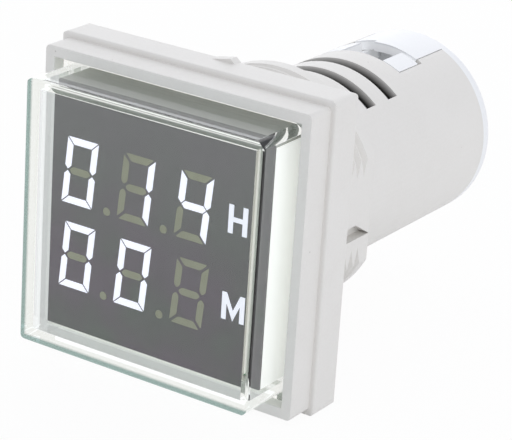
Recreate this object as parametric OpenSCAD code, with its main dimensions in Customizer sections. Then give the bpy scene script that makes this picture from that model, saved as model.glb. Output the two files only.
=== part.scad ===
// Panel hour meter for a 22 mm hole: square lit display in front, barrel with screw terminals behind.
// The origin is on the barrel's axis at the flange's rear face, +Y runs to the rear and +Z is up.

/* [Display] */
// Width of one digit
digit_w = 3.25; // [2.8:0.05:3.8]
// Height of one digit
digit_h = 6; // [5.2:0.1:6.8]
// Width of a segment's stroke
stroke = 0.65; // [0.5:0.05:0.8]
// Lean of the digits, in degrees
lean = 5; // [0:0.5:8]
// Distance from digit to digit
digit_pitch = 5.9; // [5.5:0.05:6.5]
// Distance from row to row
row_pitch = 7.7; // [7.3:0.05:8.5]
// Width of the column for the unit marks
unit_column = 3.6; // [3:0.1:5]
// Dark line between two lit segments
lit_gap = 0.1; // [0.06:0.02:0.16]
// Dark line between two unlit segments
unlit_gap = 0.26; // [0.2:0.02:0.32]
// Rounding of an unlit segment's corners
unlit_round = 0.14; // [0.06:0.02:0.2]
// Diameter of a decimal point
dot_d = 0.72; // [0.5:0.02:0.9]
// Height of a decimal point's centre above the digit's foot
dot_rise = 0.25; // [0.1:0.05:0.6]
// Thickness of the dark face film
film_t = 0.25; // [0.15:0.05:0.5]

/* [Front] */
// Room between the display case and the lens wall
case_gap = 0.25; // [0.15:0.05:0.6]
// Thickness of the lens's side walls
lens_wall = 1.05; // [0.8:0.05:1.5]
// Thickness of the lens's front
lens_front_t = 1.1; // [0.8:0.05:1.6]
// How far the lens stands out of the front frame
lens_out = 4.45; // [3.5:0.05:6]
// Distance from the lens's front to the display face
face_depth = 2.75; // [2.2:0.05:3.5]
// Width of the lens's foot beyond its walls
foot_w = 0.9; // [0.75:0.05:1]
// Rounding of the lens's corners
lens_corner = 0.8; // [0.3:0.05:1]
// Gap between the lens and the front frame
lens_gap = 0.55; // [0.3:0.05:0.7]
// Width of the front frame's rim
rim_w = 1; // [0.8:0.05:1.6]
// Depth of the front frame
frame_t = 2.85; // [2.4:0.05:4]
// Thickness of the front frame's lip over the lens's foot
lip_t = 1.25; // [0.8:0.05:1.6]
// Step from the front frame out to the flange
step_w = 0.5; // [0.3:0.05:1]
// Thickness of the flange
flange_t = 3.4; // [3:0.05:4.5]
// Thickness of the floor under the display board
floor_t = 1.3; // [1:0.05:1.6]
// Rounding of the flange's and the frame's corners
corner_r = 0.6; // [0.4:0.05:0.9]
// Rounding of their front and rear edges
edge_r = 0.25; // [0.15:0.05:0.35]

/* [Barrel] */
// Outer radius of the barrel
barrel_r = 9.05; // [8.1:0.05:9.6]
// Thickness of the barrel's wall
barrel_wall = 0.95; // [0.8:0.05:1]
// Length of the barrel behind the flange
barrel_len = 32.5; // [29:0.1:38]
// Outer radius of the threaded collar
collar_r = 11; // [10.7:0.05:11.2]
// Length of the collar
collar_len = 10.6; // [9.6:0.1:13]
// Length of the plain part of the collar that centres the meter in its panel
land_len = 3.1; // [2:0.1:3.6]
// Length of the plain end of the collar behind the thread
collar_end = 1.2; // [0.6:0.05:1.6]
// Width across the collar's side flats
flats_w = 19.7; // [19.4:0.05:20.2]
// Pitch of the thread
thread_pitch = 1.05; // [0.9:0.05:1.2]
// Depth of the thread
thread_depth = 0.62; // [0.4:0.02:0.64]
// Width of a thread's crest
crest_w = 0.12; // [0.08:0.02:0.2]
// Distance from the rear vent slot to the opening in the barrel's top
slot_gap = 3.05; // [2:0.05:4]
// Width of a vent slot
slot_w = 1.55; // [1:0.05:2]
// Distance from slot to slot
slot_pitch = 3.7; // [3:0.1:4]
// Half the arc of a vent slot, in degrees
slot_half = 40; // [25:1:60]

/* [Terminal cap] */
// Length of the cap's rim behind the barrel
rim_len = 1.2; // [0.9:0.05:2]
// Rounding of the rim's rear edge
rim_round = 0.4; // [0.2:0.05:0.6]
// Room between the cap and the barrel
cap_clear = 0.1; // [0.05:0.01:0.2]
// Length of the cap's plug inside the barrel
plug_len = 4.7; // [4.4:0.1:5]
// Length of the opening in the barrel's top, from the barrel's end
window_len = 8.7; // [8.2:0.1:10]
// Half the opening's arc at the snaps, in degrees
window_half = 27.4; // [25:0.2:32]
// Half the opening's arc at the key, in degrees
key_half = 24; // [18:0.5:24.5]
// How far the key's left tooth stands back from its right one
key_step = 0.6; // [0.3:0.05:1]
// Arc of a snap's hook, in degrees
snap_arc = 12.5; // [8:0.5:14]
// Length of a snap's hook
snap_len = 3.4; // [2.4:0.1:3.6]
// Thickness of a snap's arm
arm_t = 1; // [0.7:0.05:1.2]
// Gap between a snap's arm and the key over it
arm_gap = 0.15; // [0.1:0.05:0.2]
// Depth of the hollow behind the snaps' arms
hollow_len = 2.6; // [2:0.1:3]

/* [Terminals] */
// Thickness of the barrier between the two terminals
barrier_t = 1.5; // [1.2:0.1:2]
// Distance from a chamber's corner to the cap's outside
cap_wall = 0.53; // [0.4:0.01:0.8]
// Height of a terminal's chamber
chamber_h = 6.4; // [6:0.05:6.6]
// Floor between the chamber and the inside of the barrel
chamber_floor = 0.9; // [0.7:0.05:1.1]
// Thickness of a terminal plate
plate_t = 1; // [0.8:0.05:1.2]
// Thickness of a clamp
clamp_t = 0.8; // [0.6:0.05:1]
// Room round a plate and a clamp
chamber_clear = 0.15; // [0.1:0.05:0.25]
// Radius of a terminal screw
screw_r = 1.5; // [1.25:0.05:1.6]
// Room between a screw's head and the chamber's side
head_clear = 0.4; // [0.3:0.05:0.6]
// Height of a screw's head
head_h = 1.8; // [1.4:0.05:2]
// Length of a screw under its head
screw_len = 4.1; // [3.9:0.05:4.4]
// Running clearance of a screw in its plate
screw_clear = 0.05; // [0.03:0.01:0.08]
// Width of a terminal's tail
tail_w = 2.4; // [1.6:0.1:2.8]
// Thickness of a terminal's tail
tail_t = 0.6; // [0.4:0.05:0.7]
// Length of a terminal's tail in front of the cap
tail_len = 3.2; // [2.6:0.1:3.8]

/* [Boards] */
// Thickness of the circuit boards
board_t = 1.2; // [0.8:0.1:1.6]
// Room round the display board
board_gap = 0.15; // [0.1:0.05:0.3]
// How far the display board reaches past the display case
board_over = 0.3; // [0.1:0.05:0.4]
// Distance from the axis down to the main board's upper face
board_drop = 3.2; // [3.1:0.05:3.5]
// Radius of a pin
pin_r = 0.25; // [0.2:0.05:0.35]
// Distance from pin to pin
pin_pitch = 1.6; // [1.2:0.1:1.8]

/* [Components] */
// Gap between one row of components and the next
row_gap = 0.8; // [0.6:0.05:1]
// Width of the film capacitor
film_cap_w = 4.6; // [3.5:0.1:5]
// Height of the film capacitor
film_cap_h = 7.6; // [6:0.1:8]
// Radius of the electrolytic capacitor
can_r = 3; // [2.5:0.1:3.1]
// How much shorter the electrolytic capacitor is than the film capacitor
can_short = 1; // [0:0.1:2]
// Width of the bridge rectifier
bridge_w = 4.6; // [4:0.1:5]
// Length of the bridge rectifier
bridge_len = 5.6; // [5.4:0.1:5.8]
// Height of the bridge rectifier
bridge_h = 2.4; // [2:0.1:3]
// Radius of the surge resistor
resistor_r = 1.15; // [0.8:0.05:1.3]
// Length of the surge resistor's body
resistor_len = 4.2; // [3.4:0.1:4.2]
// Radius of the varistor
varistor_r = 3.2; // [2.6:0.1:3.4]
// Thickness of the varistor
varistor_t = 2.2; // [1.6:0.1:2.4]
// Radius of the regulator's round side
regulator_r = 2.1; // [1.8:0.05:2.2]
// Height of the regulator
regulator_h = 4.4; // [3.5:0.1:5]
// Width of a chip
chip_w = 3.9; // [3:0.1:4.4]
// Thickness of a chip
chip_t = 1.4; // [1:0.1:1.6]
// Length of a large chip
large_chip_len = 8.6; // [7:0.1:9]
// Length of a small chip
small_chip_len = 4.9; // [4:0.1:5.2]
// Radius of the clock crystal's can
crystal_r = 1; // [0.8:0.05:1.2]
// Length of the clock crystal's can
crystal_len = 6; // [5:0.1:7]

/* [Hidden] */
$fn = 64;

moulded_grey = [0.84, 0.84, 0.83];
clear_tint = [0.8, 0.87, 0.86, 0.35];
film_black = [0.2, 0.2, 0.21];
lit_white = [0.96, 0.96, 1];
unlit_olive = [0.55, 0.55, 0.45];
cap_white = [0.96, 0.96, 0.96];
board_green = [0.1, 0.35, 0.2];
chip_black = [0.12, 0.12, 0.13];
tinned = [0.75, 0.75, 0.77];
brass_yellow = [0.8, 0.65, 0.3];

over = 0.5;
hairline = 0.05;
rows = 2;
columns = 3;

// Front stack, from the display face outwards
face_w = columns * digit_pitch + unit_column;
lens_w = face_w + 2 * (case_gap + lens_wall);
foot_side = lens_w + 2 * foot_w;
opening_w = lens_w + 2 * lens_gap;
frame_w = opening_w + 2 * rim_w;
flange_w = frame_w + 2 * step_w;
flange_front = -flange_t;
frame_front = flange_front - frame_t;
lens_front = frame_front - lens_out;
face_y = lens_front + face_depth;
case_front = face_y + film_t;
board_rear = -floor_t;
board_front = board_rear - board_t;
foot_front = frame_front + lip_t + hairline;
board_side = face_w + 2 * board_over;
pocket_side = board_side + 2 * board_gap;

// Barrel and cap
hollow_margin = 3;
hollow_room = 1.3;
key_split = 97;
bore_r = barrel_r - barrel_wall;
plug_r = bore_r - cap_clear;
cap_end = barrel_len + rim_len;
plug_front = barrel_len - plug_len;
window_y = barrel_len - window_len;
chamber_y = plug_front + chamber_floor;
slot_rear = window_y - slot_gap;
hollow_half = window_half + hollow_margin;
hollow_h = arm_t + hollow_room;
groove_w = thread_pitch - crest_w;
thread_rear = collar_len - collar_end;
groove_count = floor((thread_rear - land_len) / thread_pitch);

// A wedge-shaped notch above the collar's lower half, beside the right flat
notch_foot_z = -2.4;
notch_top_z = -1.05;
notch_front = 6.6;
notch_ramp = 8.3;
notch_floor_x = barrel_r - 0.15;

// A trimmed moulding gate on the flange's top edge
gate_left = -0.05;
gate_peak = 1.85;
gate_right = 2.3;
gate_h = 0.38;
gate_len = 0.92;

// Terminals, from the plate outwards
chamber_out = sqrt((plug_r - cap_wall) * (plug_r - cap_wall) - chamber_h * chamber_h / 4);
chamber_w = chamber_out - barrier_t / 2;
terminal_x = (barrier_t + chamber_w) / 2;
head_r = chamber_w / 2 - head_clear;
clamp_y = chamber_y + plate_t + hairline;
head_y = clamp_y + clamp_t + hairline;
screw_tip = head_y - screw_len;
well_room = 0.3;
well_spare = 0.4;
boss_wall = 0.6;
well_r = screw_r + well_room;
well_end = screw_tip - well_spare;
boss_r = well_r + boss_wall;
boss_front = well_end - boss_wall;
plate_w = chamber_w - 2 * chamber_clear;
plate_h = chamber_h - 2 * chamber_clear;
cross_w = 0.7;
cross_len = 3;
cross_depth = 1.1;

// Main board and the two boards' pins
end_gap = 0.1;
side_gap = 0.2;
board_top = -board_drop;
board_foot = board_top - board_t;
main_half = sqrt(bore_r * bore_r - board_foot * board_foot) - side_gap;
main_front = board_rear + end_gap;
main_rear = plug_front - end_gap;
display_pins_per_row = 6;
pin_span = pin_pitch * (display_pins_per_row - 1);
pin_margin = 0.72;
pin_rows_z = sqrt((bore_r - pin_margin) * (bore_r - pin_margin) - pin_span * pin_span / 4);
pin_out = 0.9;
link_pins = 4;
link_side = 2.2;
link_y = 0.6;
driver_z = 1.6;

// Rows of components on the main board: the film capacitor takes the length that the others leave
tail_gap = 0.35;
flat_share = 0.6;
tail_front = plug_front - tail_len;
regulator_depth = regulator_r * (1 + flat_share);
third_y = tail_front - tail_gap - regulator_depth;
second_y = third_y - row_gap - bridge_len;
parts_y = link_y + link_side + row_gap;
film_cap_len = second_y - row_gap - parts_y;
can_len = film_cap_len - can_short;
crystal_y = parts_y + large_chip_len + row_gap + crystal_r;
memory_y = crystal_y + crystal_r + row_gap + small_chip_len / 2;
centre_gap = 0.3;
resistor_gap = 1.6;
regulator_gap = 1.5;
varistor_cross = 1.2;
can_groove = 1.2;
lead_r = 0.3;
lead_w = 0.4;
chip_lead_t = 0.2;
chip_lead_len = 1;
chip_lead_pitch = 1.27;

// Flat outlines, drawn in X and Z

module along_y(y0, y1) {
  translate([0, y1, 0])
    rotate([90, 0, 0])
      linear_extrude(y1 - y0)
        children();
}

module rod_y(r, y0, y1) {
  translate([0, y0, 0])
    rotate([-90, 0, 0])
      cylinder(r = r, h = y1 - y0);
}

module rounded_square(w, h, r) {
  square([w - 2 * r, h], center = true);
  square([w, h - 2 * r], center = true);
  for (x = [-1, 1], z = [-1, 1])
    translate([x * (w / 2 - r), z * (h / 2 - r)])
      circle(r);
}

// A wedge about the barrel's axis, between two angles from +X
module wedge(a0, a1, y0, y1) {
  reach = 2 * collar_r;
  along_y(y0, y1)
    polygon([[0, 0], [reach * cos(a0), reach * sin(a0)], [reach * cos(a1), reach * sin(a1)]]);
}

module arc_block(r0, r1, a0, a1, y0, y1) {
  intersection() {
    difference() {
      rod_y(r1, y0, y1);
      rod_y(r0, y0 - over, y1 + over);
    }
    wedge(a0, a1, y0 - over, y1 + over);
  }
}

// A square plate with round corners and softened front and rear edges
module soft_plate(w, y0, y1, corner, edge) {
  t = y1 - y0;
  intersection() {
    along_y(y0, y1)
      rounded_square(w, w, corner);
    translate([0, (y0 + y1) / 2, -w])
      linear_extrude(2 * w)
        rounded_square(w, t, edge);
    translate([-w, (y0 + y1) / 2, 0])
      rotate([90, 0, 90])
        linear_extrude(2 * w)
          rounded_square(t, w, edge);
  }
}

// Seven-segment figures

function lean_over(p) = [p[0] + p[1] * tan(lean), p[1]];

// The seven outlines in the order a to g, with the dark line between them given by gap
function segment_outline(i, gap) =
  let (
    u = digit_w / 2,
    v = digit_h / 2,
    s = stroke,
    t = stroke / 2,
    m = gap / sqrt(2),
    bar = [[-u + m, v], [-u + s + m, v - s], [u - s - m, v - s], [u - m, v]],
    side = [[-u, v - m], [-u, t + m], [-u + t, m], [-u + s, t + m], [-u + s, v - s - m]],
    middle = [[-u + t + m, 0], [-u + s + m, -t], [u - s - m, -t],
      [u - t - m, 0], [u - s - m, t], [-u + s + m, t]]
  )
  i == 0 ? bar
  : i == 1 ? [for (p = side) [-p[0], p[1]]]
  : i == 2 ? [for (p = side) [-p[0], -p[1]]]
  : i == 3 ? [for (p = bar) [p[0], -p[1]]]
  : i == 4 ? [for (p = side) [p[0], -p[1]]]
  : i == 5 ? side
  : middle;

// An outline with each corner replaced by a short curve through points a given length from it
function round_corners(pts, r) = [
  for (i = [0 : len(pts) - 1])
    let (
      p = pts[i],
      a = pts[(i + len(pts) - 1) % len(pts)] - p,
      b = pts[(i + 1) % len(pts)] - p,
      start = p + a / norm(a) * r,
      end = p + b / norm(b) * r
    )
    each [for (k = [0 : 2]) let (w = k / 2) start * (1 - w) * (1 - w) + p * 2 * w * (1 - w) + end * w * w]
];

// Which segments are lit in each digit: a reading of 14 hours and 0 minutes
lit = [[[1, 1, 1, 1, 1, 1, 0], [0, 1, 1, 0, 0, 0, 0], [0, 1, 1, 0, 0, 1, 1]],
  [[1, 1, 1, 1, 1, 1, 0], [1, 1, 1, 1, 1, 1, 0], [0, 0, 0, 0, 0, 0, 0]]];

function digit_x(column) = -face_w / 2 + digit_pitch * (column + 0.5);
function row_z(row) = row_pitch * (0.5 - row);

module segments(want) {
  for (row = [0 : rows - 1], column = [0 : columns - 1], i = [0 : 6])
    if (lit[row][column][i] == want)
      translate([digit_x(column), row_z(row)])
        polygon([for (p = want == 1 ? segment_outline(i, lit_gap)
          : round_corners(segment_outline(i, unlit_gap), unlit_round)) lean_over(p)]);
}

module dots(grow) {
  for (row = [0 : rows - 1], column = [0 : columns - 2])
    translate([digit_x(column) + digit_pitch / 2, row_z(row) - digit_h / 2 + dot_rise])
      circle(d = dot_d + 2 * grow);
}

// Front pieces

module front_frame() {
  color(moulded_grey)
    difference() {
      soft_plate(frame_w, frame_front, flange_front, corner_r, edge_r);
      along_y(frame_front - over, flange_front + over)
        square(opening_w, center = true);
      along_y(frame_front + lip_t, flange_front + over)
        square(foot_side + 2 * hairline, center = true);
    }
}

module lens() {
  color(clear_tint)
    difference() {
      union() {
        soft_plate(lens_w, lens_front, flange_front, lens_corner, edge_r);
        along_y(foot_front, flange_front)
          square(foot_side, center = true);
      }
      along_y(lens_front + lens_front_t, flange_front + over)
        square(lens_w - 2 * lens_wall, center = true);
    }
}

module face_film() {
  color(film_black)
    along_y(face_y, case_front)
      difference() {
        square(face_w, center = true);
        segments(1);
        segments(0);
        dots(hairline / 2);
      }
}

module lit_segments() {
  color(lit_white)
    along_y(face_y, case_front)
      segments(1);
}

module unlit_segments() {
  color(unlit_olive)
    along_y(face_y, case_front) {
      segments(0);
      dots(0);
    }
}

module display_case() {
  color(cap_white)
    along_y(case_front, board_front)
      square(face_w, center = true);
}

module display_pin_places() {
  for (i = [0 : display_pins_per_row - 1], z = [-1, 1])
    translate([pin_pitch * (i - (display_pins_per_row - 1) / 2), 0, z * pin_rows_z])
      children();
}

module link_pin_places() {
  for (i = [0 : link_pins - 1])
    translate([pin_pitch * (i - (link_pins - 1) / 2), 0, board_top + link_side / 2])
      children();
}

module display_pins() {
  color(tinned)
    display_pin_places()
      rod_y(pin_r, board_front, board_rear + pin_out);
}

module display_board() {
  color(board_green)
    difference() {
      along_y(board_front, board_rear)
        square(board_side, center = true);
      display_pin_places()
        rod_y(pin_r + hairline, board_front - over, board_rear + over);
      link_pin_places()
        rod_y(pin_r + hairline, board_front - over, board_rear + over);
    }
}

// Chips lie in a plane with their length along Y and their legs at the sides

module chip(length) {
  legs = floor(length / chip_lead_pitch);
  color(chip_black)
    translate([-chip_w / 2, -length / 2, chip_lead_t])
      cube([chip_w, length, chip_t]);
  color(tinned)
    for (i = [0 : legs - 1], side = [-1, 1])
      translate([side * chip_w / 2, chip_lead_pitch * (i - (legs - 1) / 2), 0])
        mirror([side > 0 ? 0 : 1, 0, 0]) {
          translate([0, -lead_w / 2, 0])
            cube([chip_lead_len, lead_w, chip_lead_t]);
          translate([0, -lead_w / 2, 0])
            cube([chip_lead_t, lead_w, chip_t / 2 + chip_lead_t]);
        }
}

module driver_chip() {
  translate([0, board_rear, driver_z])
    rotate([-90, 90, 0])
      chip(large_chip_len);
}

module controller_chip() {
  translate([0, parts_y + large_chip_len / 2, board_foot])
    mirror([0, 0, 1])
      chip(large_chip_len);
}

module memory_chip() {
  translate([0, memory_y, board_foot])
    mirror([0, 0, 1])
      chip(small_chip_len);
}

module clock_crystal() {
  color(tinned)
    translate([-crystal_len / 2, crystal_y, board_foot - crystal_r - hairline])
      rotate([0, 90, 0])
        cylinder(r = crystal_r, h = crystal_len);
}

// The main board stands on the display board and reaches back to the cap

module main_board() {
  color(board_green)
    translate([-main_half, main_front, board_foot])
      cube([2 * main_half, main_rear - main_front, board_t]);
}

module board_link() {
  color(chip_black)
    translate([-link_pins * pin_pitch / 2, link_y, board_top])
      cube([link_pins * pin_pitch, link_side, link_side]);
  color(tinned)
    link_pin_places()
      rod_y(pin_r, board_front + hairline, link_y + hairline);
}

module film_capacitor() {
  color("goldenrod")
    translate([-film_cap_w - centre_gap, parts_y, board_top])
      cube([film_cap_w, film_cap_len, film_cap_h]);
}

module smoothing_capacitor() {
  color("midnightblue")
    translate([can_r + centre_gap, 0, board_top + can_r + hairline])
      difference() {
        rod_y(can_r, parts_y, parts_y + can_len);
        rotate([-90, 0, 0])
          rotate_extrude()
            translate([can_r, parts_y + can_len - can_groove])
              circle(lead_r);
      }
}

module bridge_rectifier() {
  color(chip_black)
    translate([centre_gap, second_y, board_top])
      cube([bridge_w, bridge_len, bridge_h]);
}

module surge_resistor() {
  x = -resistor_r - resistor_gap;
  z = board_top + resistor_r + hairline;
  y = second_y + bridge_len / 2;
  half = resistor_len / 2 + lead_r;
  translate([x, y, 0]) {
    color("tan")
      translate([0, 0, z])
        rod_y(resistor_r, -resistor_len / 2, resistor_len / 2);
    color(tinned)
      for (side = [-1, 1])
        translate([-lead_r, side * half - lead_r, board_top])
          cube([2 * lead_r, 2 * lead_r, z - board_top + lead_r]);
  }
}

module varistor() {
  color("steelblue")
    translate([varistor_r - varistor_cross, 0, board_top + varistor_r + hairline])
      rod_y(varistor_r, third_y, third_y + varistor_t);
}

module regulator() {
  color(chip_black)
    translate([-regulator_r - regulator_gap, third_y + regulator_r * flat_share, board_top])
      intersection() {
        cylinder(r = regulator_r, h = regulator_h);
        translate([-regulator_r, -regulator_r * flat_share, -over])
          cube([2 * regulator_r, 2 * regulator_r, regulator_h + 2 * over]);
      }
}

// Body: flange, collar and barrel in one moulding

module thread_outline() {
  polygon(concat(
    [[0, land_len], [collar_r, land_len]],
    [for (i = [0 : groove_count - 1])
      let (y = thread_rear - groove_w / 2 - (groove_count - 1 - i) * thread_pitch)
      each [[collar_r, y - groove_w / 2], [collar_r - thread_depth, y], [collar_r, y + groove_w / 2]]],
    [[collar_r, collar_len], [0, collar_len]]
  ));
}

module threaded_collar() {
  intersection() {
    rotate([-90, 0, 0])
      rotate_extrude()
        thread_outline();
    translate([-flats_w / 2, 0, -2 * collar_r])
      cube([flats_w, barrel_len, 4 * collar_r]);
  }
}

module gate_mark() {
  top = flange_w / 2;
  along_y(-gate_len, 0)
    polygon([[gate_left, top - over], [gate_left, top], [gate_peak, top + gate_h],
      [gate_right, top], [gate_right, top - over]]);
}

module side_notch() {
  translate([notch_floor_x, 0, 0])
    rotate([90, 0, 90])
      linear_extrude(collar_r)
        polygon([[notch_front, notch_foot_z], [collar_len, notch_foot_z],
          [notch_ramp, notch_top_z], [notch_front, notch_top_z]]);
}

module body() {
  color(moulded_grey)
    difference() {
      union() {
        soft_plate(flange_w, flange_front, 0, corner_r, edge_r);
        gate_mark();
        rod_y(collar_r, -over, land_len);
        threaded_collar();
        rod_y(barrel_r, 0, barrel_len);
      }
      along_y(flange_front - over, board_rear)
        square(pocket_side, center = true);
      rod_y(bore_r, -flange_t, barrel_len + over);
      side_notch();
      for (i = [0, 1])
        translate([0, slot_rear - i * slot_pitch, 0])
          wedge(90 - slot_half, 90 + slot_half, -slot_w, 0);
      wedge(90 - window_half, 90 + window_half, window_y, plug_front + cap_clear);
      wedge(90 - key_half, 90 + key_half, window_y, barrel_len + over);
    }
}

// Terminal cap, with one chamber for each screw

module chamber_places() {
  for (side = [-1, 1])
    translate([side * terminal_x, 0, 0])
      children();
}

module tail_shape(grow) {
  translate([-tail_w / 2 - grow, tail_front - grow, board_top - grow])
    cube([tail_w + 2 * grow, chamber_y - tail_front + plate_t + 2 * grow, tail_t + 2 * grow]);
}

module cap_rim() {
  rotate([-90, 0, 0])
    rotate_extrude() {
      translate([0, barrel_len])
        square([barrel_r, rim_len - rim_round]);
      translate([0, barrel_len])
        square([barrel_r - rim_round, rim_len]);
      translate([barrel_r - rim_round, cap_end - rim_round])
        circle(rim_round);
    }
}

module snap(a0) {
  hook_y = window_y + cap_clear;
  arc_block(plug_r - arm_t, plug_r, a0, a0 + snap_arc, hook_y, plug_front + hollow_len + over);
  arc_block(plug_r - arm_t, barrel_r, a0, a0 + snap_arc, hook_y, hook_y + snap_len);
}

// The key fills the barrel's opening behind the snaps and keeps the cap from turning
module key() {
  edge = cap_clear / barrel_r * 180 / PI;
  difference() {
    arc_block(plug_r - over, barrel_r, 90 - key_half + edge, 90 + key_half - edge,
      plug_front, barrel_len + over);
    wedge(key_split, 90 + key_half, plug_front - over, plug_front + key_step);
  }
}

module terminal_cap() {
  edge = cap_clear / barrel_r * 180 / PI;
  color(cap_white) {
    difference() {
      union() {
        rod_y(plug_r, plug_front, barrel_len + over);
        cap_rim();
        key();
        chamber_places()
          rod_y(boss_r, boss_front, plug_front + over);
      }
      arc_block(plug_r - hollow_h, plug_r + arm_gap, 90 - hollow_half, 90 + hollow_half,
        plug_front - over, plug_front + hollow_len);
      chamber_places() {
        translate([-chamber_w / 2, chamber_y, -chamber_h / 2])
          cube([chamber_w, cap_end, chamber_h]);
        rod_y(well_r, well_end, chamber_y + over);
        tail_shape(hairline);
      }
    }
    snap(90 - window_half + edge);
    snap(90 + window_half - edge - snap_arc);
  }
}

module terminal_plate() {
  color(brass_yellow)
    difference() {
      union() {
        translate([-plate_w / 2, chamber_y, -plate_h / 2])
          cube([plate_w, plate_t, plate_h]);
        tail_shape(0);
      }
      rod_y(screw_r + screw_clear, chamber_y - over, chamber_y + plate_t + over);
    }
}

module clamp() {
  color(tinned)
    difference() {
      translate([-plate_w / 2, clamp_y, -plate_h / 2])
        cube([plate_w, clamp_t, plate_h]);
      rod_y(screw_r + 4 * screw_clear, clamp_y - over, clamp_y + clamp_t + over);
    }
}

module screw() {
  color(tinned)
    difference() {
      union() {
        rod_y(screw_r, screw_tip, head_y + over);
        rod_y(head_r, head_y, head_y + head_h);
      }
      for (turn = [0, 90])
        rotate([0, turn, 0])
          translate([-cross_len / 2, head_y + head_h - cross_depth, -cross_w / 2])
            cube([cross_len, cross_depth + over, cross_w]);
    }
}

module on_side(side) {
  translate([side * terminal_x, 0, 0])
    children();
}

body();
front_frame();
lens();
face_film();
lit_segments();
unlit_segments();
display_case();
display_pins();
display_board();
driver_chip();
main_board();
board_link();
controller_chip();
memory_chip();
clock_crystal();
film_capacitor();
smoothing_capacitor();
bridge_rectifier();
surge_resistor();
varistor();
regulator();
terminal_cap();
on_side(-1) terminal_plate();  // terminal_plate_1
on_side(1) terminal_plate();  // terminal_plate_2
on_side(-1) clamp();  // clamp_1
on_side(1) clamp();  // clamp_2
on_side(-1) screw();  // screw_1
on_side(1) screw();  // screw_2
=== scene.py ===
import logging
from collections.abc import Callable
from dataclasses import dataclass, field
from enum import Enum, IntEnum
from math import radians

import bmesh
import bpy
from mathutils import Matrix, Vector


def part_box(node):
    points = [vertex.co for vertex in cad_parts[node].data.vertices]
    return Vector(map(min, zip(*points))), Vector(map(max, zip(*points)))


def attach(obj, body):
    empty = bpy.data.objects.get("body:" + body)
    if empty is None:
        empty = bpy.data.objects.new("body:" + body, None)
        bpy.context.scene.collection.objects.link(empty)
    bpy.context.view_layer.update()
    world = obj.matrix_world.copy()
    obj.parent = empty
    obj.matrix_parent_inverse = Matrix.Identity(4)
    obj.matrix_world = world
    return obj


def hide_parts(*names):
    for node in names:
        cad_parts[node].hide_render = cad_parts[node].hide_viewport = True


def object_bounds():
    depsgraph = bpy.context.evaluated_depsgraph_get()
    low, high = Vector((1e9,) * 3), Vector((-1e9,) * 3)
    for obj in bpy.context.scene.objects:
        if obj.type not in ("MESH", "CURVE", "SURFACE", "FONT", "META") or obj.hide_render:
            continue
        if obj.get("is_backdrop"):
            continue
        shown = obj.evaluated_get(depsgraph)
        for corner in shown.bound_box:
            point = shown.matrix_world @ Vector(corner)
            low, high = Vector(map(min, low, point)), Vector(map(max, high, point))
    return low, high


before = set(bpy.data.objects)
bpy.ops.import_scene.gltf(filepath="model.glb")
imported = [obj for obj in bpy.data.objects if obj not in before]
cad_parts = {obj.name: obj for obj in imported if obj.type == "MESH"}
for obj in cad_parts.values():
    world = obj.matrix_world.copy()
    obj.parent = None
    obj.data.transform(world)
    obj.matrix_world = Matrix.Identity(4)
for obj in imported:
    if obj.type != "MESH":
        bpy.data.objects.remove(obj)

MM = 0.001
NEAR = 0.001 * MM
SAME_WAY = 0.99
METER_BODY = "meter"

Tree = bpy.types.NodeTree
Node = bpy.types.Node
Socket = bpy.types.NodeSocket

log = logging.getLogger("hour_meter")


class Mix(IntEnum):
    """Sockets of the colour mix node, whose names repeat for each kind of data."""

    FACTOR = 0
    FIRST = 6
    SECOND = 7
    RESULT = 2


class Letter(Enum):
    """The unit marks on the face."""

    HOURS = "H"
    MINUTES = "M"


def linear(hex_colour: str) -> tuple[float, float, float, float]:
    """Turns an sRGB hex colour into linear light.

    Args:
        hex_colour: six hex digits after a hash.

    Returns:
        Red, green, blue and an alpha of 1.
    """
    parts = [int(hex_colour[i : i + 2], 16) / 255 for i in (1, 3, 5)]
    light = [c / 12.92 if c <= 0.04045 else ((c + 0.055) / 1.055) ** 2.4 for c in parts]
    return (*light, 1.0)


def per_metre(size_mm: float) -> float:
    """Texture scale at which one feature of a pattern is as long as the given millimetres."""
    return 1 / (size_mm * MM)


def add_node(
    tree: Tree, kind: str, sockets: dict | None = None, **settings: object
) -> Node:
    """Adds a shader node with its settings and its links.

    Args:
        tree: the node tree of a material or of the world.
        kind: Blender's name of the node type.
        sockets: input name or number, to a fixed value or to the output socket that feeds it.
        settings: the node's own properties.

    Returns:
        The new node.
    """
    node = tree.nodes.new(kind)
    for name, value in settings.items():
        setattr(node, name, value)
    for key, value in (sockets or {}).items():
        if isinstance(value, Socket):
            tree.links.new(value, node.inputs[key])
        else:
            node.inputs[key].default_value = value
    return node


def combine(tree: Tree, operation: str, first: Socket | float, second: Socket | float) -> Socket:
    """Adds a node that makes one number out of two.

    Args:
        tree: the node tree of a material or of the world.
        operation: Blender's name of the operation.
        first: a number, or the output that gives it.
        second: another.

    Returns:
        The output with the result.
    """
    return add_node(tree, "ShaderNodeMath", {0: first, 1: second}, operation=operation).outputs[0]


def gate(tree: Tree, *limits: tuple[Socket, str, float]) -> Socket:
    """Adds a gate that is 1 where every value is on the right side of its limit, and 0 elsewhere.

    Args:
        tree: the material's node tree.
        limits: each a value in metres, LESS_THAN or GREATER_THAN, and the limit in millimetres.

    Returns:
        The gate's output.
    """
    passed: Socket | float = 1.0
    for value, side, limit_mm in limits:
        passed = combine(tree, "MULTIPLY", passed, combine(tree, side, value, limit_mm * MM))
    return passed


def rise(
    tree: Tree, value: Socket, edges: tuple[float, float], levels: tuple[float, float] = (0.0, 1.0)
) -> Socket:
    """Adds a straight rise from one level to another, level beyond its edges.

    Args:
        tree: the node tree of a material or of the world.
        value: the output that it follows.
        edges: values where it starts and ends.
        levels: its result there.

    Returns:
        The output with the result.
    """
    sockets = {
        "Value": value,
        "From Min": edges[0],
        "From Max": edges[1],
        "To Min": levels[0],
        "To Max": levels[1],
    }
    return add_node(tree, "ShaderNodeMapRange", sockets).outputs[0]


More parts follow.
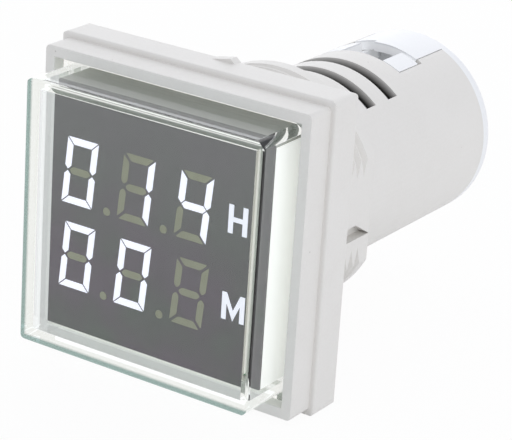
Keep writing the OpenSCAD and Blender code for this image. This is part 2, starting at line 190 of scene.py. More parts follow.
def blend(tree: Tree, share: Socket, first: Socket | str, second: Socket | str) -> Socket:
    """Adds a mix of two colours.

    Args:
        tree: the material's node tree.
        share: how much of the second colour there is.
        first: a hex colour, or the output that gives one.
        second: another.

    Returns:
        The mixed colour's output.
    """
    ends = [linear(end) if isinstance(end, str) else end for end in (first, second)]
    sockets = {Mix.FACTOR: share, Mix.FIRST: ends[0], Mix.SECOND: ends[1]}
    return add_node(tree, "ShaderNodeMix", sockets, data_type="RGBA").outputs[Mix.RESULT]


def place_on(tree: Tree) -> Socket:
    """Adds the place on the piece, in metres, and returns its output."""
    return add_node(tree, "ShaderNodeTexCoord").outputs["Object"]


def split(tree: Tree, place: Socket) -> bpy.types.bpy_prop_collection:
    """Adds the split of a place into X, Y and Z, and returns these outputs."""
    return add_node(tree, "ShaderNodeSeparateXYZ", {0: place}).outputs


def from_axis(tree: Tree, place: Socket) -> Socket:
    """Adds the distance of a place from the barrel's axis.

    Args:
        tree: the material's node tree.
        place: the place on the piece.

    Returns:
        The output with the distance in metres.
    """
    across = add_node(
        tree, "ShaderNodeVectorMath", {0: place, 1: (1.0, 0.0, 1.0)}, operation="MULTIPLY"
    ).outputs[0]
    return add_node(tree, "ShaderNodeVectorMath", {0: across}, operation="LENGTH").outputs["Value"]


def noise(tree: Tree, place: Socket, size_mm: float, detail: float = 2.0) -> Socket:
    """Adds uneven spots of about one size.

    Args:
        tree: the material's node tree.
        place: the place on the piece.
        size_mm: size of a spot.
        detail: how many finer layers lie over the spots.

    Returns:
        The output with the spots.
    """
    sockets = {"Vector": place, "Scale": per_metre(size_mm), "Detail": detail}
    return add_node(tree, "ShaderNodeTexNoise", sockets).outputs[0]


def emboss(tree: Tree, shader: Node, height: Socket, height_mm: float, strength: float) -> None:
    """Gives a surface a fine relief.

    Args:
        tree: the material's node tree.
        shader: its surface shader.
        height: the output that the relief follows.
        height_mm: its height.
        strength: how strongly it shows.
    """
    sockets = {"Height": height, "Strength": strength, "Distance": height_mm * MM}
    tree.links.new(add_node(tree, "ShaderNodeBump", sockets).outputs["Normal"], shader.inputs["Normal"])


@dataclass(frozen=True)
class Finish:
    """A surface as it leaves its maker: its name, its colour and how smooth it is."""

    name: str
    colour: str
    roughness: float
    ior: float = 1.5
    metallic: float = 0.0

    def material(self) -> bpy.types.Material:
        """Makes the material, with the pattern that the finish adds.

        Returns:
            The new material.
        """
        made = bpy.data.materials.new(self.name)
        made.use_nodes = True
        tree = made.node_tree
        shader = tree.nodes["Principled BSDF"]
        shader.inputs["Base Color"].default_value = linear(self.colour)
        shader.inputs["Roughness"].default_value = self.roughness
        shader.inputs["IOR"].default_value = self.ior
        shader.inputs["Metallic"].default_value = self.metallic
        self.pattern(tree, shader)
        return made

    def pattern(self, tree: Tree, shader: Node) -> None:
        """Leaves the surface even; a finish with a pattern adds its nodes here."""

    def put_on(self, *nodes: str) -> None:
        """Gives this finish to some of the model's own solids.

        Args:
            nodes: names of the solids.
        """
        made = self.material()
        for node in nodes:
            dress(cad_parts[node], made)
            log.info("%s: %s", node, self.name)


def dress(piece: bpy.types.Object, material: bpy.types.Material) -> None:
    """Puts one material on a whole piece."""
    piece.data.materials.clear()
    piece.data.materials.append(material)


@dataclass(frozen=True)
class SparkedMoulding(Finish):
    """ABS moulded in a spark-eroded tool.

    The tool leaves a matte, faintly sandy skin with no clear reflections, a slight cloudiness
    where the plastic flowed, and here and there a dark speck in the pellets.
    """

    grain_mm: float = 0.22  # true grain is 0.05 mm; coarser so that it shows
    grain_detail: float = 3.0
    grain_height_mm: float = 0.006
    grain_strength: float = 0.5
    gloss_spread: float = 0.08
    cloud_mm: float = 3.5
    cloud_detail: float = 4.0
    speck_mm: float = 0.09
    speck_spacing_mm: float = 2.4
    speck_share: float = 0.5
    shade: str = "#d9d6d2"
    dirt: str = "#8d8780"

    def pattern(self, tree: Tree, shader: Node) -> None:
        """Adds the grain, the cloudiness and the specks.

        Args:
            tree: the material's node tree.
            shader: its surface shader.
        """
        place = place_on(tree)
        grain = noise(tree, place, self.grain_mm, self.grain_detail)
        cloud = noise(tree, place, self.cloud_mm, self.cloud_detail)
        cloudy = blend(tree, combine(tree, "MULTIPLY", grain, cloud), self.colour, self.shade)
        cells = add_node(
            tree, "ShaderNodeTexVoronoi", {"Vector": place, "Scale": per_metre(self.speck_spacing_mm)}
        ).outputs["Distance"]
        reach = self.speck_mm / self.speck_spacing_mm
        speck = rise(tree, cells, (reach, reach / 2), (0.0, self.speck_share))
        rough = rise(
            tree,
            grain,
            (0.0, 1.0),
            (self.roughness - self.gloss_spread, self.roughness + self.gloss_spread),
        )
        tree.links.new(blend(tree, speck, cloudy, self.dirt), shader.inputs["Base Color"])
        tree.links.new(rough, shader.inputs["Roughness"])
        emboss(tree, shader, grain, self.grain_height_mm, self.grain_strength)


@dataclass(frozen=True)
class BarrelMoulding(SparkedMoulding):
    """The same ABS round a closed bore, with painted shade inside.

    Hardly any light gets in, so the walls of the slots are painted dark towards the bore: painted
    shade. Behind them, where the white cap throws light back, the bore is painted a lighter warm grey:
    painted shade, lightened for that bounced light.
    """

    # painted shade: the colours of the bore and the inner slot walls, dark where little light gets in
    # and lighter towards the cap
    inside: str = "#2c2a28"
    painted_rear_bore_shade: str = "#b4afa7"
    rear_mm: float = 22.5
    fade_mm: tuple[float, float] = (8.25, 9.05)

    def pattern(self, tree: Tree, shader: Node) -> None:
        """Adds the painted shade of the inside to the moulding's pattern.

        Args:
            tree: the material's node tree.
            shader: its surface shader.
        """
        super().pattern(tree, shader)
        outside = shader.inputs["Base Color"].links[0].from_socket
        place = place_on(tree)
        rear = gate(tree, (split(tree, place)["Y"], "GREATER_THAN", self.rear_mm))
        # painted shade: dark bore under the slots, lighter bore towards the cap, blended in from the
        # outer skin towards the axis
        bore = blend(tree, rear, self.inside, self.painted_rear_bore_shade)
        share = rise(tree, from_axis(tree, place), tuple(edge * MM for edge in self.fade_mm))
        tree.links.new(blend(tree, share, bore, outside), shader.inputs["Base Color"])


@dataclass(frozen=True)
class UnderKeyGlowMoulding(SparkedMoulding):
    """White ABS with a painted glow: the faces under the key glow faintly, standing in for the light
    that reaches them, so they look pale, not black.
    """

    # painted light: strength of the glow given to the faces under the key
    painted_glow_under_key: float = 0.14
    skin_mm: float = 8.9
    key_mm: float = 3.6
    rear_mm: float = 30.0

    def pattern(self, tree: Tree, shader: Node) -> None:
        """Adds the painted glow under the key.

        Args:
            tree: the material's node tree.
            shader: its surface shader.
        """
        super().pattern(tree, shader)
        place = place_on(tree)
        part = split(tree, place)
        under_key = gate(
            tree,
            (from_axis(tree, place), "LESS_THAN", self.skin_mm),
            (part["Y"], "LESS_THAN", self.rear_mm),
            (part["Z"], "GREATER_THAN", self.key_mm),
        )
        # painted light: the faces under the key glow, though nothing in the cap is a lamp
        shader.inputs["Emission Color"].default_value = linear(self.colour)
        level = combine(tree, "MULTIPLY", under_key, self.painted_glow_under_key)
        tree.links.new(level, shader.inputs["Emission Strength"])


@dataclass(frozen=True)
class ClearAcrylic(Finish):
    """Polished injection-moulded acrylic.

    It is all but invisible face on and mirrors the room at its corners. Its left and lower rim is
    painted a cool blue-green, standing in for the colour seen where the eye looks along the sheet. The
    walls guide the room's light down to their foot, and this is painted as a glow there, so a wall seen
    from its front end looks pale; the right wall mirrors the dark face instead and gets no painted
    glow, and the foot under the frame's top stays dark.
    """

    shadow: str = "#fafdfc"
    depth_tint: str = "#89afa3"
    depth_mm: float = 60.0
    foot_y_mm: float = -3.45
    # painted light: strength of the glow on the walls' foot
    painted_foot_glow: float = 1.15
    right_wall_mm: float = 10.7
    top_wall_mm: float = 11.95
    # painted tint: blue-green on the front's left and lower rim, standing in for the colour seen along
    # the sheet
    painted_rim_tint: str = "#5f7d78"
    rim_mm: tuple[float, float] = (-11.45, -11.2)
    front_mm: float = -10.6

    def pattern(self, tree: Tree, shader: Node) -> None:
        """Makes the shader clear, paints its rim, lets lamplight and bounced light straight through,
        and paints a glow on the walls' foot.

        Args:
            tree: the material's node tree.
            shader: its surface shader.
        """
        shader.inputs["Transmission Weight"].default_value = 1.0
        part = split(tree, place_on(tree))
        tree.links.new(self.rim(tree, part), shader.inputs["Base Color"])
        path = add_node(tree, "ShaderNodeLightPath").outputs
        passing = combine(tree, "MAXIMUM", path["Is Shadow Ray"], path["Is Diffuse Ray"])
        clear = add_node(tree, "ShaderNodeBsdfTransparent", {"Color": linear(self.shadow)})
        both = add_node(
            tree, "ShaderNodeMixShader", {0: passing, 1: shader.outputs[0], 2: clear.outputs[0]}
        )
        # painted light: where the walls' foot glows, except on the right wall and under the frame's top
        foot = gate(
            tree,
            (part["Y"], "GREATER_THAN", self.foot_y_mm),
            (part["X"], "LESS_THAN", self.right_wall_mm),
            (part["Z"], "LESS_THAN", self.top_wall_mm),
        )
        foot_glow_shader = add_node(tree, "ShaderNodeEmission", {"Strength": self.painted_foot_glow})
        whole = add_node(
            tree, "ShaderNodeMixShader", {0: foot, 1: both.outputs[0], 2: foot_glow_shader.outputs[0]}
        )
        depth = add_node(
            tree,
            "ShaderNodeVolumeAbsorption",
            {"Color": linear(self.depth_tint), "Density": per_metre(self.depth_mm)},
        )
        output = tree.nodes["Material Output"]
        tree.links.new(whole.outputs[0], output.inputs["Surface"])
        tree.links.new(depth.outputs[0], output.inputs["Volume"])

    def rim(self, tree: Tree, part: bpy.types.bpy_prop_collection) -> Socket:
        """Adds the painted blue-green of the front's left and lower rim.

        Args:
            tree: the material's node tree.
            part: outputs with X, Y and Z of the place on the lens.

        Returns:
            The colour's output.
        """
        outermost = combine(tree, "MINIMUM", part["X"], part["Z"])
        inner = rise(tree, outermost, tuple(edge * MM for edge in self.rim_mm))
        walls = gate(tree, (part["Y"], "GREATER_THAN", self.front_mm))
        return blend(tree, combine(tree, "MAXIMUM", inner, walls), self.painted_rim_tint, self.colour)


@dataclass(frozen=True)
class SmokedFilm(Finish):
    """Smoke-printed polyester film over the display.

    A dark neutral grey with a gloss, painted a little paler towards the top: painted light, standing in
    for the stronger light on the film's top. Stretched film shows faint bands of violet and green where
    light passes through it twice.
    """

    band_mm: float = 5.5
    band_detail: float = 1.0
    violet: str = "#463946"
    violet_at: float = 0.35
    neutral_at: float = 0.5
    green: str = "#39443a"
    green_at: float = 0.65
    # painted light: the film's colour towards the top, paler where more light falls
    pale: str = "#5a5858"
    fade_mm: tuple[float, float] = (-4.0, 11.0)

    def pattern(self, tree: Tree, shader: Node) -> None:
        """Adds the colour bands and the painted light of the paler top.

        Args:
            tree: the material's node tree.
            shader: its surface shader.
        """
        place = place_on(tree)
        drift = noise(tree, place, self.band_mm, self.band_detail)
        tint = add_node(tree, "ShaderNodeValToRGB", {"Fac": drift})
        ramp = tint.color_ramp.elements
        ramp[0].position, ramp[0].color = self.violet_at, linear(self.violet)
        ramp[1].position, ramp[1].color = self.green_at, linear(self.green)
        ramp.new(self.neutral_at).color = linear(self.colour)
        fade = rise(tree, split(tree, place)["Z"], tuple(edge * MM for edge in self.fade_mm))
        tree.links.new(blend(tree, fade, tint.outputs["Color"], self.pale), shader.inputs["Base Color"])


@dataclass(frozen=True)
class LitDiffuser(Finish):
    """Milky resin with a lamp behind it: it glows an even white, a little more or less in patches."""

    glow: str = "#f3f3ff"
    strength: float = 0.75
    unevenness: float = 0.1
    patch_mm: float = 1.4

    def pattern(self, tree: Tree, shader: Node) -> None:
        """Adds the glow and its slight unevenness.

        Args:
            tree: the material's node tree.
            shader: its surface shader.
        """
        shader.inputs["Emission Color"].default_value = linear(self.glow)
        patch = noise(tree, place_on(tree), self.patch_mm)
        least, most = self.strength * (1 - self.unevenness), self.strength * (1 + self.unevenness)
        level = rise(tree, patch, (0.0, 1.0), (least, most))
        tree.links.new(level, shader.inputs["Emission Strength"])


@dataclass(frozen=True)
class LitCase(LitDiffuser):
    """White case of the display: its sides carry a painted glow, standing in for the light that reaches
    them, and its top is painted a dull grey shade.
    """

    # painted shade: grey colour of the case's top
    painted_lid_shade: str = "#c2beb8"
    lid_z_mm: float = 10.6

    def pattern(self, tree: Tree, shader: Node) -> None:
        """Adds the painted glow, and takes it and the white off the top, which gets painted shade.

        Args:
            tree: the material's node tree.
            shader: its surface shader.
        """
        super().pattern(tree, shader)
        level = shader.inputs["Emission Strength"].links[0].from_socket
        # painted light on the sides below the top; painted shade on the top
        side = gate(tree, (split(tree, place_on(tree))["Z"], "LESS_THAN", self.lid_z_mm))
        tree.links.new(combine(tree, "MULTIPLY", level, side), shader.inputs["Emission Strength"])
        tree.links.new(blend(tree, side, self.painted_lid_shade, self.colour), shader.inputs["Base Color"])


@dataclass(frozen=True)
class Mottled(Finish):
    """A surface of one material whose colour, gloss and skin vary a little from spot to spot."""

    second: str = "#808080"
    spot_mm: float = 0.4
    spot_detail: float = 4.0
    spread: float = 0.1
    height_mm: float = 0.004
    height_strength: float = 0.5
    stretch: tuple[float, float, float] = (1.0, 1.0, 1.0)

    def pattern(self, tree: Tree, shader: Node) -> None:
        """Adds the spots to the colour, the roughness and the skin.

        Args:
            tree: the material's node tree.
            shader: its surface shader.
        """
        drawn = add_node(
            tree, "ShaderNodeMapping", {"Vector": place_on(tree), "Scale": self.stretch}
        ).outputs[0]
        spot = noise(tree, drawn, self.spot_mm, self.spot_detail)
        levels = (self.roughness - self.spread, self.roughness + self.spread)
        tree.links.new(blend(tree, spot, self.colour, self.second), shader.inputs["Base Color"])
        tree.links.new(rise(tree, spot, (0.0, 1.0), levels), shader.inputs["Roughness"])
        emboss(tree, shader, spot, self.height_mm, self.height_strength)


@dataclass(frozen=True)
class SolderMask(Finish):
    """Green solder mask on a glass-fibre board: glossy, with paler runs where copper lies under it."""

    copper: str = "#2f8a52"
    copper_mm: float = 0.03
    copper_strength: float = 0.4
    track_mm: float = 0.9
    track_edges: tuple[float, float] = (0.42, 0.46)

    def pattern(self, tree: Tree, shader: Node) -> None:
        """Adds the runs of copper under the mask.

        Args:
            tree: the material's node tree.
            shader: its surface shader.
        """
        cells = add_node(
            tree,
            "ShaderNodeTexVoronoi",
            {"Vector": place_on(tree), "Scale": per_metre(self.track_mm * 2)},
            distance="CHEBYCHEV",
        ).outputs["Distance"]
        track = rise(tree, cells, self.track_edges)
        tree.links.new(blend(tree, track, self.colour, self.copper), shader.inputs["Base Color"])
        emboss(tree, shader, track, self.copper_mm, self.copper_strength)


# Light grey ABS with a spark-eroded skin: matte and even, so its outside reads from shading alone; the
# bore and the slot walls carry painted shade.
GREY_MOULDING = BarrelMoulding("grained grey ABS moulding", "#e6e4e0", 0.5, shade="#dcd9d4")
# White ABS from a smoother tool: brighter, with a soft sheen and a painted glow on the faces under the
# key.
WHITE_MOULDING = UnderKeyGlowMoulding(
    "satin white ABS moulding", "#f2f3f4", 0.38, shade="#ebecee", grain_height_mm=0.003
)
# Clear acrylic: clear face on, with a painted cool tint on its left and lower rim and a painted glow at
# the walls' foot.
LENS_ACRYLIC = ClearAcrylic("polished clear acrylic", "#fdfefe", 0.02, ior=1.49)
# Smoked film: dark, glossy, faintly iridescent, and painted paler towards the top as painted light.
FACE_FILM = SmokedFilm("smoke printed polyester film", "#3d3b3c", 0.16)
# Lit resin: cool white light of its own.
LIT_RESIN = LitDiffuser("lit milky epoxy diffuser", "#b9b9c2", 0.35)
# White case of the display: its sides carry a painted warm white glow, standing in for the light that
# reaches them, and its top a painted grey shade.
LIT_CASE = LitCase(
    "white polycarbonate case with painted glow",
    "#f2f1ee",
    0.4,
    glow="#f7f2f0",
    strength=0.5,
    patch_mm=4.0,
)
# Unlit resin: the yellow phosphor under it shows through as a dull olive.
UNLIT_RESIN = Mottled(
    "unlit phosphor tinted diffuser", "#8f8f72", 0.35, second="#85856c", spot_mm=0.8, height_mm=0.001
)
# Translucent white ink with a lamp behind it: as bright as the digits.
WHITE_INK = LitDiffuser(
    "screen printed translucent white ink", "#d6d6dc", 0.5, strength=0.45, patch_mm=0.6
)
# Solder mask: glossy green.
BOARD_MASK = SolderMask("green solder mask on glass epoxy", "#1b6a3c", 0.3)
# Moulded epoxy of chips: near black and dull, with a fine sandy skin.
CHIP_EPOXY = Mottled("matte black moulding epoxy", "#26262a", 0.6, second="#303034", spot_mm=0.15)
# Tin plate: pale metal with a soft, slightly cloudy shine.
TIN_PLATE = Mottled("bright tin plate", "#d2d2d4", 0.28, metallic=1.0, second="#bcbcc0", spot_mm=0.5)
# Black thermoplastic case of a film capacitor: smooth, with the sink of a thick moulding.
CAPACITOR_BOX = Mottled("black moulded polyester box", "#232326", 0.35, second="#2c2c30", spot_mm=1.2)
# Shrunk vinyl sleeve: glossy and taut.
VINYL_SLEEVE = Mottled("black shrunk vinyl sleeve", "#1b1c22", 0.25, second="#23242b", spot_mm=1.5)
# Dipped lacquer: orange peel and a dull shine.
DIPPED_LACQUER = Mottled(
    "tan dipped lacquer", "#cbb088", 0.5, second="#bfa27a", spot_mm=0.5, height_mm=0.01
)
# Rolled brass strip: warm metal with fine drawn lines along the strip.
ROLLED_BRASS = Mottled(
    "rolled brass strip",
    "#d8b25c",
    0.3,
    metallic=1.0,
    second="#c79f4c",
    spot_mm=0.3,
    stretch=(1.0, 0.1, 1.0),
)
# Zinc plate on steel: bluish grey metal, a little frosty.
ZINC_PLATE = Mottled(
    "bright zinc plated steel", "#c9ccd2", 0.32, metallic=1.0, second="#b3b6bd", spot_mm=0.35
)


def select_edges(
    piece: bpy.types.Object, wanted: Callable[[Vector], bool], least_bend: float = 0.0
) -> None:
    """Selects edges of a piece in edit mode by where their middles lie and how sharp they are.

    Args:
        piece: the piece.
        wanted: says whether a middle is in the wanted place.
        least_bend: least angle between an edge's faces, in radians.
    """
    bpy.ops.mesh.select_all(action="DESELECT")
    mesh = bmesh.from_edit_mesh(piece.data)
    for edge in mesh.edges:
        sharp = edge.calc_face_angle(0.0) >= least_bend
        edge.select_set(sharp and wanted((edge.verts[0].co + edge.verts[1].co) / 2))
    bmesh.update_edit_mesh(piece.data)


def select_faces(piece: bpy.types.Object, normal: Vector) -> None:
    """Selects the faces of a piece in edit mode that look one way.

    Args:
        piece: the piece.
        normal: the way they look.
    """
    bpy.ops.mesh.select_all(action="DESELECT")
    mesh = bmesh.from_edit_mesh(piece.data)
    for face in mesh.faces:
        face.select_set(face.normal.dot(normal) > SAME_WAY)
    bmesh.update_edit_mesh(piece.data)


@dataclass
class UnitMark:
    """One letter printed in white on the face, drawn as its left half and mirrored."""

    letter: Letter
    across_mm: float
    up_mm: float
    width_mm: float
    height_mm: float
    stem_mm: float
    bar_mm: float
    ink_mm: float = 0.02

    def build(self, face_y: float) -> bpy.types.Object:
        """Models the letter on the face.

        Args:
            face_y: where the front of the face lies, in metres.

        Returns:
            The finished piece.
        """
        half, tall = self.width_mm / 2 * MM, self.height_mm * MM
        stem, bar = self.stem_mm * MM, self.bar_mm * MM
        bpy.ops.object.select_all(action="DESELECT")
        bpy.ops.mesh.primitive_plane_add(size=1, rotation=(radians(90), 0, 0))
        bpy.ops.object.transform_apply(location=False, rotation=True, scale=False)
        piece = bpy.context.object
        piece.name = f"unit_mark_{self.letter.name.lower()}"
        bpy.ops.object.mode_set(mode="EDIT")
        bpy.ops.mesh.select_mode(type="EDGE")
        bpy.ops.transform.resize(value=(stem, 1, tall))
        bpy.ops.transform.translate(value=(stem / 2 - half, 0, 0))
        if self.letter is Letter.HOURS:
            self.cut(bar / 2)
            self.cut(-bar / 2)
            self.grow(piece, stem - half, -bar / 2, bar / 2, Vector((half - stem, 0, 0)))
        else:
            self.cut(tall / 2 - bar)
            slope = Vector((half - stem, 0, bar - tall))
            self.grow(piece, stem - half, tall / 2 - bar, tall / 2, slope)
        bpy.ops.object.mode_set(mode="OBJECT")
        mirror = piece.modifiers.new("other_half", "MIRROR")
        mirror.merge_threshold = NEAR
        bpy.ops.object.modifier_apply(modifier=mirror.name)
        ink = piece.modifiers.new("ink", "SOLIDIFY")
        ink.thickness = self.ink_mm * MM
        ink.offset = 1
        bpy.ops.object.modifier_apply(modifier=ink.name)
        bpy.ops.object.mode_set(mode="EDIT")
        bpy.ops.mesh.select_all(action="SELECT")
        bpy.ops.transform.translate(value=(self.across_mm * MM, face_y, self.up_mm * MM))
        bpy.ops.object.mode_set(mode="OBJECT")
        return piece

    def cut(self, height: float) -> None:
        """Cuts the stem across at a height above the letter's middle, in metres."""
        bpy.ops.mesh.select_all(action="SELECT")
        bpy.ops.mesh.bisect(plane_co=(0, 0, height), plane_no=(0, 0, 1))

    def grow(self, piece: bpy.types.Object, side: float, low: float, high: float, step: Vector) -> None:
        """Draws a bar out of the stem's inner edge.

        Args:
            piece: the letter in edit mode.
            side: where the inner edge lies across.
            low: lower end of the stretch that grows.
            high: upper end of that stretch.
            step: how far it is drawn.
        """
        select_edges(piece, lambda at: abs(at.x - side) < NEAR and low - NEAR < at.z < high + NEAR)
        bpy.ops.mesh.extrude_region_move(TRANSFORM_OT_translate={"value": step})


@dataclass
class Bezel:
    """The square frame that traps the lens: crisp in front, and square where it meets the flange."""

    node: str = "front_frame"
    lens: str = "lens"
    rim_mm: float = 1.0
    lip_mm: float = 1.25
    slack_mm: float = 0.02
    corner_mm: float = 0.45
    corner_steps: int = 6
    edge_mm: float = 0.1
    edge_steps: int = 2
    sharp_deg: float = 60.0
    smooth_deg: float = 40.0

    def build(self) -> bpy.types.Object:
        """Models the frame from a block: an opening in front, a wider seat behind it, broken edges.

        Returns:
            The finished piece.
        """
        low, high = (Vector(corner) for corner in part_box(self.node))
        seat = high.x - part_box(self.lens)[1][0] - self.slack_mm * MM
        step_y = low.y + self.lip_mm * MM
        bpy.ops.object.select_all(action="DESELECT")
        bpy.ops.mesh.primitive_cube_add(size=1)
        piece = bpy.context.object
        piece.name = "crisp_front_frame"
        bpy.ops.object.mode_set(mode="EDIT")
        bpy.ops.transform.resize(value=high - low)
        bpy.ops.transform.translate(value=(low + high) / 2)
        self.sink(piece, Vector((0, -1, 0)), self.rim_mm * MM, step_y - low.y)
        self.sink(piece, Vector((0, 1, 0)), seat, step_y - high.y)
        bpy.ops.mesh.select_mode(type="EDGE")
        select_edges(piece, lambda at: abs(at.y - step_y) < NEAR)
        bpy.ops.mesh.bridge_edge_loops()
        select_edges(piece, lambda at: min(abs(at.x), abs(at.z)) > high.x - NEAR)
        bpy.ops.mesh.bevel(offset=self.corner_mm * MM, segments=self.corner_steps, affect="EDGES")
        select_edges(piece, lambda at: abs(at.y - low.y) < NEAR, radians(self.sharp_deg))
        bpy.ops.mesh.bevel(offset=self.edge_mm * MM, segments=self.edge_steps, affect="EDGES")
        bpy.ops.mesh.select_all(action="SELECT")
        bpy.ops.mesh.normals_make_consistent(inside=False)
        bpy.ops.object.mode_set(mode="OBJECT")
        bpy.ops.object.shade_smooth_by_angle(angle=radians(self.smooth_deg))
        shading = piece.modifiers.new("even_shading", "WEIGHTED_NORMAL")
        shading.keep_sharp = True
        bpy.ops.object.modifier_apply(modifier=shading.name)
        return piece

    def sink(self, piece: bpy.types.Object, side: Vector, rim: float, depth: float) -> None:
        """Opens one side of the block inside a rim.

        Args:
            piece: the block in edit mode.
            side: the way that side looks.
            rim: width that is left round the opening, in metres.
            depth: how far the opening goes along Y, in metres.
        """
        bpy.ops.mesh.select_mode(type="FACE")
        select_faces(piece, side)
        bpy.ops.mesh.inset(thickness=rim)
        bpy.ops.mesh.extrude_region_move(TRANSFORM_OT_translate={"value": (0, depth, 0)})
        bpy.ops.mesh.delete(type="FACE")


@dataclass
class Housing:
    """The grey barrel with its flange, and the frame that traps the lens."""

    barrel: str = "body"
    bezel: Bezel = field(default_factory=Bezel)

    def build(self) -> None:
        """Dresses the mouldings and puts the crisp frame in place of the plain one."""
        GREY_MOULDING.put_on(self.barrel, self.bezel.node)
        piece = self.bezel.build()
        dress(piece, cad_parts[self.barrel].data.materials[0])
        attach(piece, METER_BODY)
        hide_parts(self.bezel.node)
        log.info("%s: %s", piece.name, GREY_MOULDING.name)


@dataclass
class FrontWindow:
    """The clear box over the display."""

    lens: str = "lens"

    def build(self) -> None:
        """Dresses the lens."""
        LENS_ACRYLIC.put_on(self.lens)


@dataclass
class Display:
    """The digit display with its film, its segments and the printed unit marks."""

    film: str = "face_film"
    marks: tuple[UnitMark, ...] = (
        UnitMark(
            Letter.HOURS,
            across_mm=8.52,
            up_mm=3.85,
            width_mm=1.88,
            height_mm=2.5,
            stem_mm=0.48,
            bar_mm=0.42,
        ),
        UnitMark(
            Letter.MINUTES,
            across_mm=8.56,
            up_mm=-3.85,
            width_mm=2.27,
            height_mm=2.42,
            stem_mm=0.47,
            bar_mm=0.95,
        ),
    )

    def build(self) -> None:
        """Dresses the display and prints the marks."""
        FACE_FILM.put_on(self.film)
        LIT_RESIN.put_on("lit_segments")
        UNLIT_RESIN.put_on("unlit_segments")
        LIT_CASE.put_on("display_case")
        TIN_PLATE.put_on("display_pins")
        BOARD_MASK.put_on("display_board")
        CHIP_EPOXY.put_on("driver_chip")
        ink = WHITE_INK.material()
        for mark in self.marks:
            piece = mark.build(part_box(self.film)[0][1])
            dress(piece, ink)
            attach(piece, METER_BODY)
            log.info("%s: %s", piece.name, WHITE_INK.name)


@dataclass
class Electronics:
    """The long board in the barrel and what stands on it."""

    def build(self) -> None:
        """Dresses the board and its parts."""
        BOARD_MASK.put_on("main_board")
        CHIP_EPOXY.put_on(
            "board_link", "controller_chip", "memory_chip", "bridge_rectifier", "regulator"
        )
        TIN_PLATE.put_on("clock_crystal")
        CAPACITOR_BOX.put_on("film_capacitor")
        VINYL_SLEEVE.put_on("smoothing_capacitor", "varistor")
        DIPPED_LACQUER.put_on("surge_resistor")


@dataclass
class Terminals:
    """The white cap at the barrel's end with its two screw terminals."""

    def build(self) -> None:
        """Dresses the cap and the terminals."""
        WHITE_MOULDING.put_on("terminal_cap")
        ROLLED_BRASS.put_on("terminal_plate_1", "terminal_plate_2")
        TIN_PLATE.put_on("clamp_1", "clamp_2")
        ZINC_PLATE.put_on("screw_1", "screw_2")


@dataclass(frozen=True)
class SoftLamp:
    """A round lamp with a diffuser, aimed at the object."""

    name: str
    comes_from: tuple[float, float, float]
    watts: float
    size_m: float = 0.6
    distance_m: float = 0.5

    def hang(self) -> None:
        """Hangs the lamp in its place."""
        data = bpy.data.lights.new(self.name, "AREA")
        data.shape = "DISK"
        data.size = self.size_m
        data.energy = self.watts
        lamp = bpy.data.objects.new(self.name, data)
        bpy.context.scene.collection.objects.link(lamp)
        aim = Vector(self.comes_from).normalized()
        lamp.location = aim * self.distance_m
        lamp.rotation_euler = aim.to_track_quat("Z", "Y").to_euler()


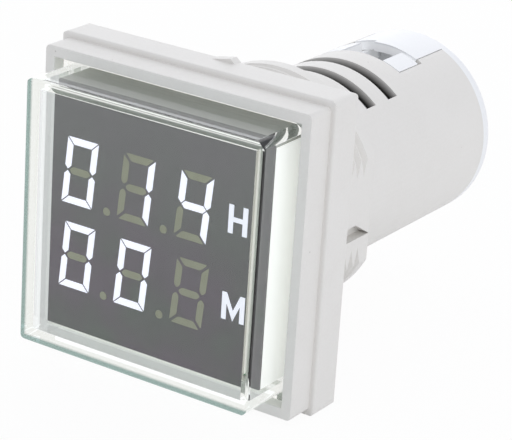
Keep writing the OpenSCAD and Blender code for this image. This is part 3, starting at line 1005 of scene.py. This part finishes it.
@dataclass
class Studio:
    """A white floor, a white room and two large soft lamps."""

    floor_m: float = 6.0
    floor_colour: str = "#f4f4f4"
    seen_white: float = 0.95
    mirrored_white: float = 0.8
    sky_colour: str = "#f7f9ff"
    sky_strength: float = 0.82
    lamps: tuple[SoftLamp, ...] = (
        SoftLamp("right_lamp", (0.95, -0.3, 0.15), 0.7),
        SoftLamp("rear_lamp", (-0.5, 0.785, 0.42), 0.8),
    )

    def build(self) -> None:
        """Lays the floor and sets the lights."""
        self.lay_floor()
        self.light_room()
        for lamp in self.lamps:
            lamp.hang()

    def lay_floor(self) -> None:
        """Lays the floor under the object; it looks white and keeps some of the shadow."""
        bpy.ops.object.select_all(action="DESELECT")
        bpy.ops.mesh.primitive_plane_add(size=self.floor_m, location=(0, 0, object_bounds()[0].z))
        floor = bpy.context.object
        floor.name = "studio_floor"
        material = bpy.data.materials.new("white paper floor")
        material.use_nodes = True
        tree = material.node_tree
        shader = tree.nodes["Principled BSDF"]
        shader.inputs["Base Color"].default_value = linear(self.floor_colour)
        shader.inputs["Roughness"].default_value = 1.0
        shader.inputs["Specular IOR Level"].default_value = 0.0
        path = add_node(tree, "ShaderNodeLightPath").outputs
        seen = combine(tree, "MAXIMUM", path["Is Camera Ray"], path["Is Transmission Ray"])
        direct = combine(tree, "MULTIPLY", seen, self.seen_white)
        mirrored = combine(tree, "MULTIPLY", path["Is Glossy Ray"], self.mirrored_white)
        share = combine(tree, "MAXIMUM", direct, mirrored)
        white = add_node(tree, "ShaderNodeEmission", {"Strength": 1.0})
        both = add_node(
            tree, "ShaderNodeMixShader", {0: share, 1: shader.outputs[0], 2: white.outputs[0]}
        )
        tree.links.new(both.outputs[0], tree.nodes["Material Output"].inputs["Surface"])
        dress(floor, material)
        floor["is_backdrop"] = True

    def light_room(self) -> None:
        """Makes the room white to the eye and in reflections, and dimmer as a lamp."""
        world = bpy.data.worlds.new("white room")
        bpy.context.scene.world = world
        world.use_nodes = True
        tree = world.node_tree
        sky = tree.nodes["Background"]
        sky.inputs["Color"].default_value = linear(self.sky_colour)
        path = add_node(tree, "ShaderNodeLightPath").outputs
        direct = combine(tree, "MAXIMUM", path["Is Camera Ray"], path["Is Transmission Ray"])
        seen = combine(tree, "MAXIMUM", direct, path["Is Glossy Ray"])
        strength = rise(tree, seen, (0.0, 1.0), (self.sky_strength, 1.0))
        tree.links.new(strength, sky.inputs["Strength"])


@dataclass
class Viewpoint:
    """The camera, where the photograph was taken from."""

    place_mm: tuple[float, float, float] = (105.29, -156.59, 72.57)
    right: tuple[float, float, float] = (0.8270, 0.5590, 0.0615)
    up: tuple[float, float, float] = (-0.2500, 0.2680, 0.9305)
    back: tuple[float, float, float] = (0.5036, -0.7849, 0.3611)
    lens_mm: float = 164.82
    sensor_mm: float = 36.0
    nearest_m: float = 0.01

    def build(self) -> None:
        """Places the camera."""
        data = bpy.data.cameras.new("camera")
        data.sensor_fit = "HORIZONTAL"
        data.sensor_width = self.sensor_mm
        data.lens = self.lens_mm
        data.clip_start = self.nearest_m
        camera = bpy.data.objects.new("camera", data)
        bpy.context.scene.collection.objects.link(camera)
        turn = Matrix((self.right, self.up, self.back)).transposed().to_quaternion()
        camera.matrix_world = Matrix.LocRotScale(Vector(self.place_mm) * MM, turn, None)
        bpy.context.scene.camera = camera


def main() -> None:
    """Dresses the hour meter piece by piece, then sets the studio and the camera."""
    logging.basicConfig(level=logging.INFO, format="%(message)s")
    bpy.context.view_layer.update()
    bpy.context.scene.view_settings.view_transform = "Standard"
    for kind in (Housing, FrontWindow, Display, Electronics, Terminals, Studio, Viewpoint):
        kind().build()
        log.info("%s done", kind.__name__)


if __name__ == "__main__":
    main()
